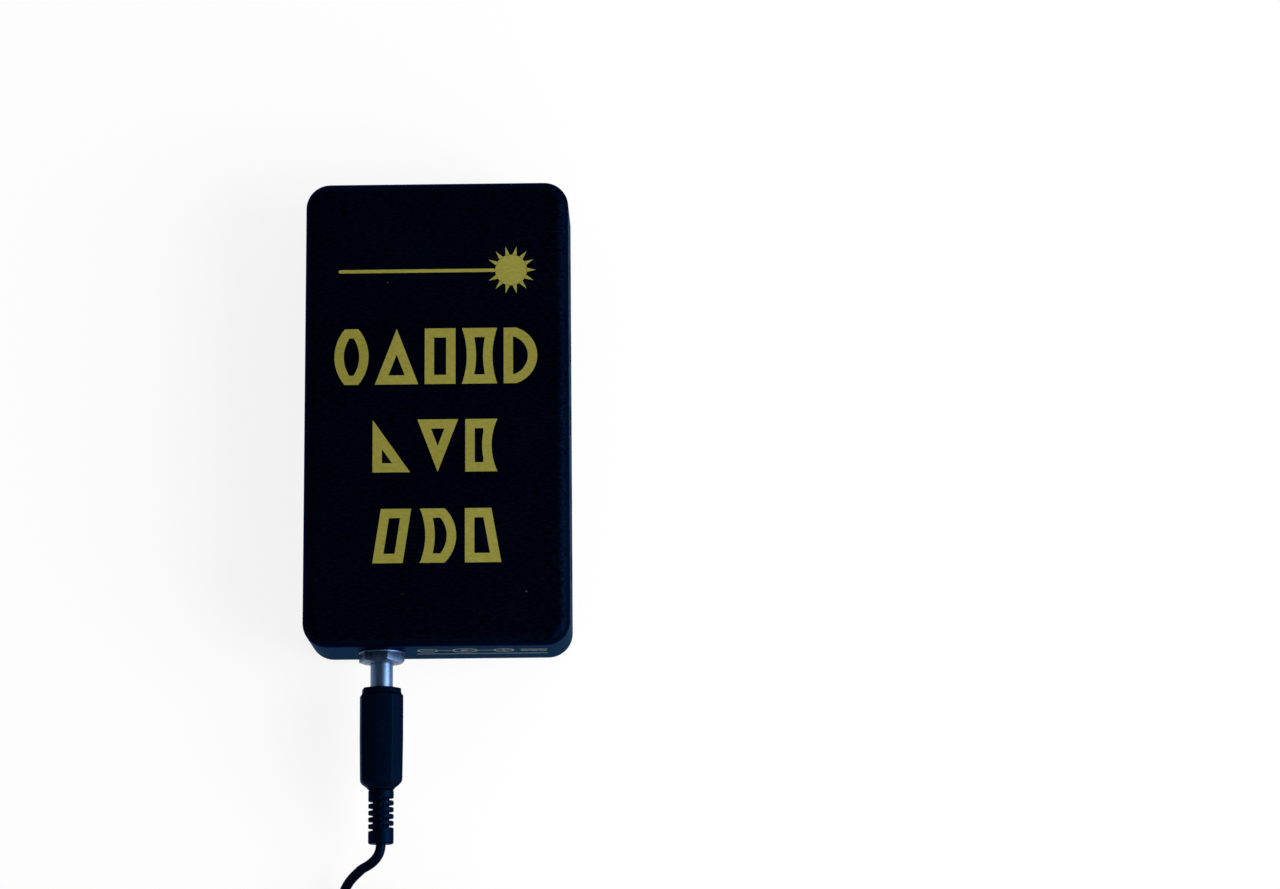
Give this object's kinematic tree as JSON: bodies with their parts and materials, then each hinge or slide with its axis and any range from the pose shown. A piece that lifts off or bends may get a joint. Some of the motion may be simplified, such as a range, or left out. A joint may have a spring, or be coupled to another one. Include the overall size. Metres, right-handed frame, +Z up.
{
  "type": "optics ray box",
  "caption": "Low black metal box that sends parallel laser rays from ports in one long side, with a beam selector, a power jack and a plug-in adapter on a coiled lead.",
  "frame": {"origin": "middle of the underside of the magnetic sheet, on the surface that the box stands on", "axes": "+X out of the side that the rays leave from, -Y out of the end with the power jack, +Z up"},
  "size_m": [0.071, 0.3174, 0.049],
  "materials": {
    "black_paint": "satin",
    "grey_plate": "satin",
    "black_steel": "satin",
    "magnet_rubber": "matte",
    "aluminium": "satin",
    "steel": "satin",
    "gold_plate": "gloss",
    "green_board": "satin",
    "brass": "satin",
    "tan_coat": "satin",
    "blue_sleeve": "gloss",
    "black_plastic": "matte",
    "ivory_plastic": "matte",
    "red_wire": "satin",
    "black_wire": "satin",
    "yellow_wire": "satin",
    "brown_plastic": "satin",
    "nickel": "satin",
    "black_moulding": "satin",
    "cord_jacket": "satin",
    "white_tie": "satin",
    "adapter_plastic": "matte",
    "grey_core": "satin",
    "optical_glass": "gloss"
  },
  "bodies": {
    "root": {"case_shell": "black_paint", "base_plate": "grey_plate", "base_screws": "black_steel", "magnetic_sheet": "magnet_rubber", "laser_block": "aluminium", "block_screws": "steel", "set_screws": "black_steel", "laser_diodes": "gold_plate", "driver_boards": "green_board", "control_board": "green_board", "board_standoffs": "brass", "board_screws": "steel", "resistors": "tan_coat", "capacitors": "blue_sleeve", "regulator": "black_plastic", "beam_connectors": "ivory_plastic", "beam_wires": "red_wire", "power_wires": "black_wire", "selector_wires": "yellow_wire", "selector_plate": "steel", "selector_body": "brown_plastic", "selector_terminals": "steel", "selector_screws": "steel", "jack_housing": "nickel", "jack_insulator": "black_plastic", "jack_pin": "gold_plate", "jack_contact": "nickel", "jack_washer": "nickel", "jack_nut": "nickel", "laser_barrel_1": "brass", "collimator_lens_1": "optical_glass", "line_lens_1": "optical_glass", "laser_barrel_2": "brass", "collimator_lens_2": "optical_glass", "line_lens_2": "optical_glass", "laser_barrel_3": "brass", "collimator_lens_3": "optical_glass", "line_lens_3": "optical_glass", "laser_barrel_4": "brass", "collimator_lens_4": "optical_glass", "line_lens_4": "optical_glass", "laser_barrel_5": "brass", "collimator_lens_5": "optical_glass", "line_lens_5": "optical_glass"},
    "selector": {"selector_slider": "black_plastic"},
    "power_lead": {"plug_sleeve": "nickel", "plug_insulator": "black_plastic", "plug_tip": "nickel", "plug_grip": "black_moulding", "plug_strain_relief": "black_moulding", "lead": "cord_jacket", "lead_coil": "cord_jacket", "coil_tie": "white_tie", "lead_tail": "cord_jacket", "adapter_strain_relief": "black_moulding", "adapter_case": "adapter_plastic", "adapter_cover": "adapter_plastic", "adapter_pins": "nickel", "adapter_transformer": "grey_core", "adapter_board": "green_board"}
  },
  "joints": [
    {"name": "plug_pull", "type": "slide", "parent": "root", "child": "power_lead", "axis": [0, -1, 0], "range_m": [0, 0.012]},
    {"name": "selector_slide", "type": "slide", "parent": "root", "child": "selector", "axis": [1, 0, 0], "range_m": [0, 0.005]}
  ]
}
